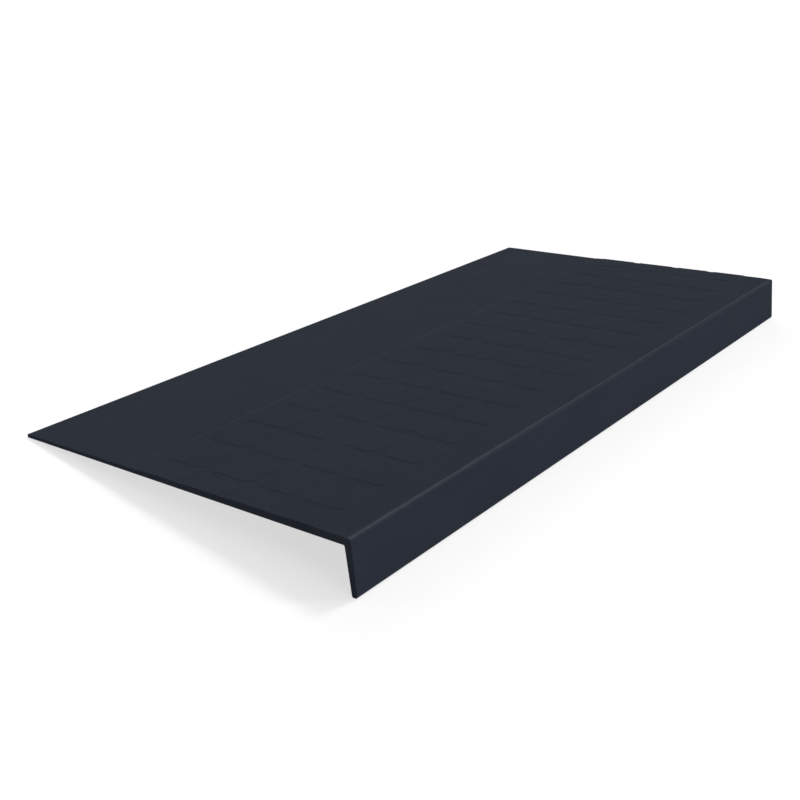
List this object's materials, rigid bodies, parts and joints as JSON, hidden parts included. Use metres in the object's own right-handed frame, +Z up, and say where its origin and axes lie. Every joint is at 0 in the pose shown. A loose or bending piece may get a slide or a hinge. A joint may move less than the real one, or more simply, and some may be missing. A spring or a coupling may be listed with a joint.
{
  "type": "stair tread",
  "caption": "Rubber stair tread with a square nose, a hanging front flange, rows of low raised square pads and a plain rear strip.",
  "frame": {"origin": "on the floor, under the middle of the tread's footprint as it rests on the flange tip and the lower back edge", "axes": "+X along the tread's length, +Y from the nose towards the back edge, +Z up"},
  "size_m": [0.66, 0.3152, 0.0388],
  "materials": {
    "rubber": "matte black with a faint blue cast and a soft sheen"
  },
  "bodies": {
    "root": {"rubber_stair_tread": "rubber"}
  },
  "joints": []
}
